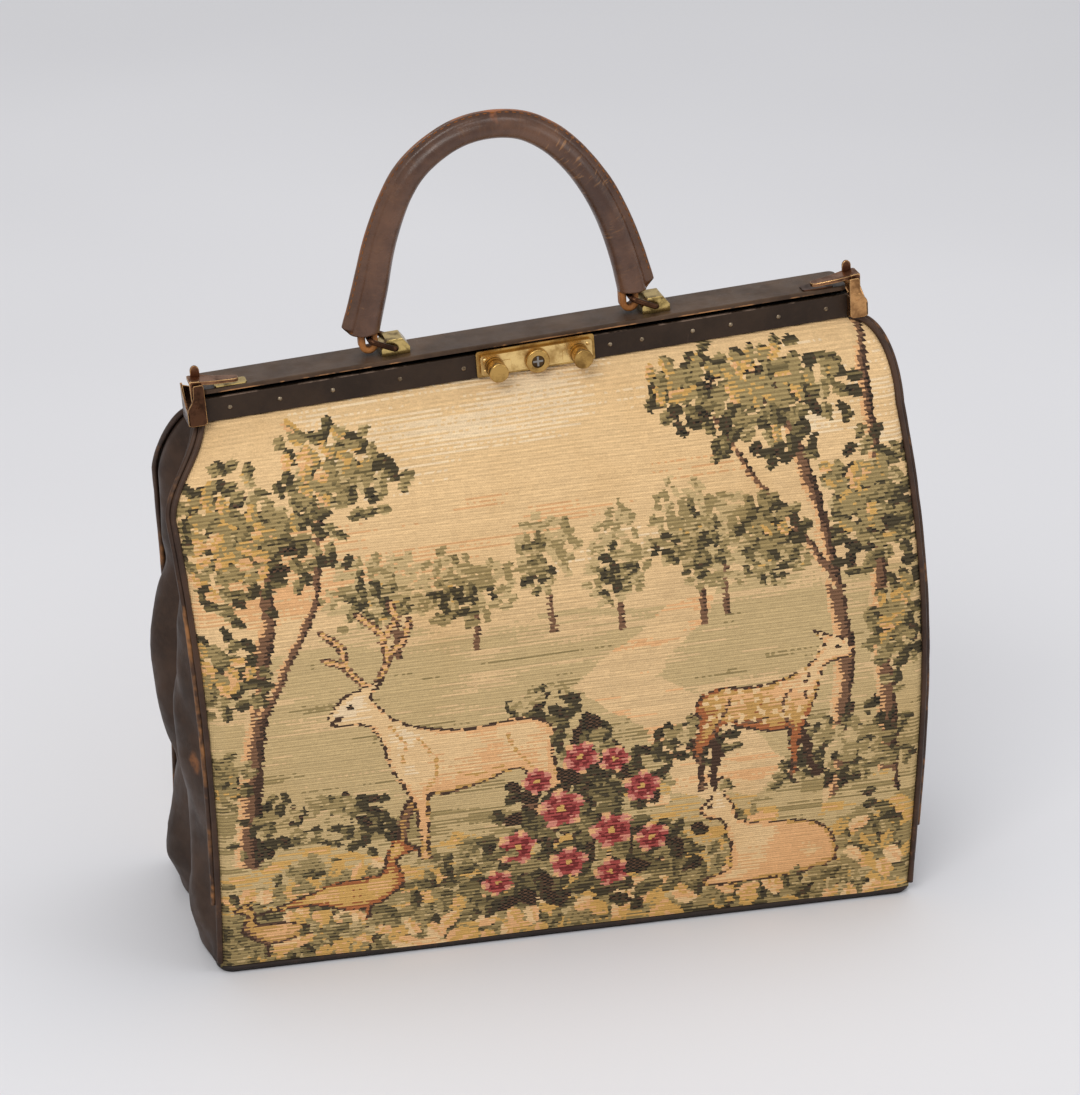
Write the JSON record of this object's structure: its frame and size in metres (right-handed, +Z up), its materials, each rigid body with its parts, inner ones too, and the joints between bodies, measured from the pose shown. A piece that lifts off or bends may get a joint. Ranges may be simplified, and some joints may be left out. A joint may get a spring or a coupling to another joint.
{
  "type": "carpet bag",
  "caption": "Upright tapestry carpet bag with folded leather ends and a hinged top frame that swings open, with end latches, sliding lock knobs and a leather handle on rings.",
  "frame": {"origin": "middle of the base's underside, where the bag stands", "axes": "+Z up, +X to the right when seen from the front, -Y towards the front with the lock"},
  "size_m": [0.443, 0.1476, 0.4795],
  "materials": {
    "tapestry": "matt woven",
    "body_leather": "worn satin",
    "welt_leather": "worn satin",
    "frame_leather": "smooth satin",
    "handle_leather": "polished by use",
    "raw_leather": "raw",
    "board": "lined card",
    "frame_steel": "black lacquer",
    "bare_steel": "dull",
    "lock_brass": "worn polish",
    "knob_brass": "antique",
    "mount_brass": "worn polish",
    "bronze": "bronzed",
    "nail": "worn",
    "rope": "twisted cord"
  },
  "bodies": {
    "bag": {"base_panel": "body_leather", "base_board": "board", "front_board": "board", "back_board": "board", "front_panel": "tapestry", "back_panel": "tapestry", "left_gusset": "body_leather", "right_gusset": "body_leather", "front_left_welt": "welt_leather", "front_right_welt": "welt_leather", "back_left_welt": "welt_leather", "back_right_welt": "welt_leather", "rear_jaw_rail": "frame_steel", "rear_strip": "frame_leather", "rear_nails": "nail", "top_plate": "frame_leather", "left_hinge_pin": "bare_steel", "right_hinge_pin": "bare_steel", "hasp_tongue": "bare_steel", "left_keeper_plate": "mount_brass", "right_keeper_plate": "mount_brass", "left_handle_mount": "mount_brass", "right_handle_mount": "mount_brass"},
    "front_jaw": {"front_jaw_rail": "frame_steel", "front_strip": "frame_leather", "front_nails": "nail", "lock_base_plate": "lock_brass", "lock_cover_plate": "lock_brass", "lock_rivets": "lock_brass", "lock_case": "bare_steel", "key_ring": "lock_brass", "left_latch_bracket": "bronze", "right_latch_bracket": "bronze", "left_latch_pin": "bronze", "right_latch_pin": "bronze"},
    "left_latch": {"left_latch_lever": "bronze"},
    "right_latch": {"right_latch_lever": "bronze"},
    "left_slide": {"left_lock_knob": "knob_brass", "left_lock_bolt": "bare_steel"},
    "right_slide": {"right_lock_knob": "knob_brass", "right_lock_bolt": "bare_steel"},
    "key": {"key_plug": "lock_brass"},
    "left_ring": {"left_handle_ring": "bronze"},
    "right_ring": {"right_handle_ring": "bronze"},
    "handle": {"handle_sleeve": "handle_leather", "handle_core": "rope", "left_handle_tab": "raw_leather", "right_handle_tab": "raw_leather"}
  },
  "joints": [
    {"name": "front_jaw_swing", "type": "hinge", "parent": "bag", "child": "front_jaw", "pos_m": [-0.00884, 0, 0.26227], "axis": [0.9961, 0, 0.088], "range_deg": [0, 75], "deforming": ["front_panel", "front_left_welt", "front_right_welt"]},
    {"name": "left_latch_lift", "type": "hinge", "parent": "front_jaw", "child": "left_latch", "pos_m": [-0.205, -0.0165, 0.32926], "axis": [0, -1, 0], "range_deg": [0, 40]},
    {"name": "right_latch_lift", "type": "hinge", "parent": "front_jaw", "child": "right_latch", "pos_m": [0.17253, -0.0165, 0.36263], "axis": [0, 1, 0], "range_deg": [0, 40]},
    {"name": "left_knob_slide", "type": "slide", "parent": "front_jaw", "child": "left_slide", "axis": [0.9961, 0, 0.088], "range_m": [0, 0.006]},
    {"name": "right_knob_slide", "type": "slide", "parent": "front_jaw", "child": "right_slide", "axis": [-0.9961, 0, -0.088], "range_m": [0, 0.006]},
    {"name": "key_turn", "type": "hinge", "parent": "front_jaw", "child": "key", "pos_m": [-0.01359, -0.0154, 0.33875], "axis": [0, 1, 0], "range_deg": [0, 90]},
    {"name": "left_ring_swing", "type": "hinge", "parent": "bag", "child": "left_ring", "pos_m": [-0.09177, 0, 0.34871], "axis": [0, 1, 0], "range_deg": [0, 128]},
    {"name": "right_ring_swing", "type": "hinge", "parent": "bag", "child": "right_ring", "pos_m": [0.05765, 0, 0.36191], "axis": [0, 1, 0], "range_deg": [0, 128]},
    {"name": "handle_sway", "type": "hinge", "parent": "left_ring", "child": "handle", "pos_m": [-0.10634, 0, 0.35429], "axis": [0, 1, 0], "range_deg": [-128, 0]}
  ],
  "couplings": [
    {"joint": "right_ring_swing", "follows": "left_ring_swing", "ratio": 1},
    {"joint": "handle_sway", "follows": "left_ring_swing", "ratio": -1}
  ]
}
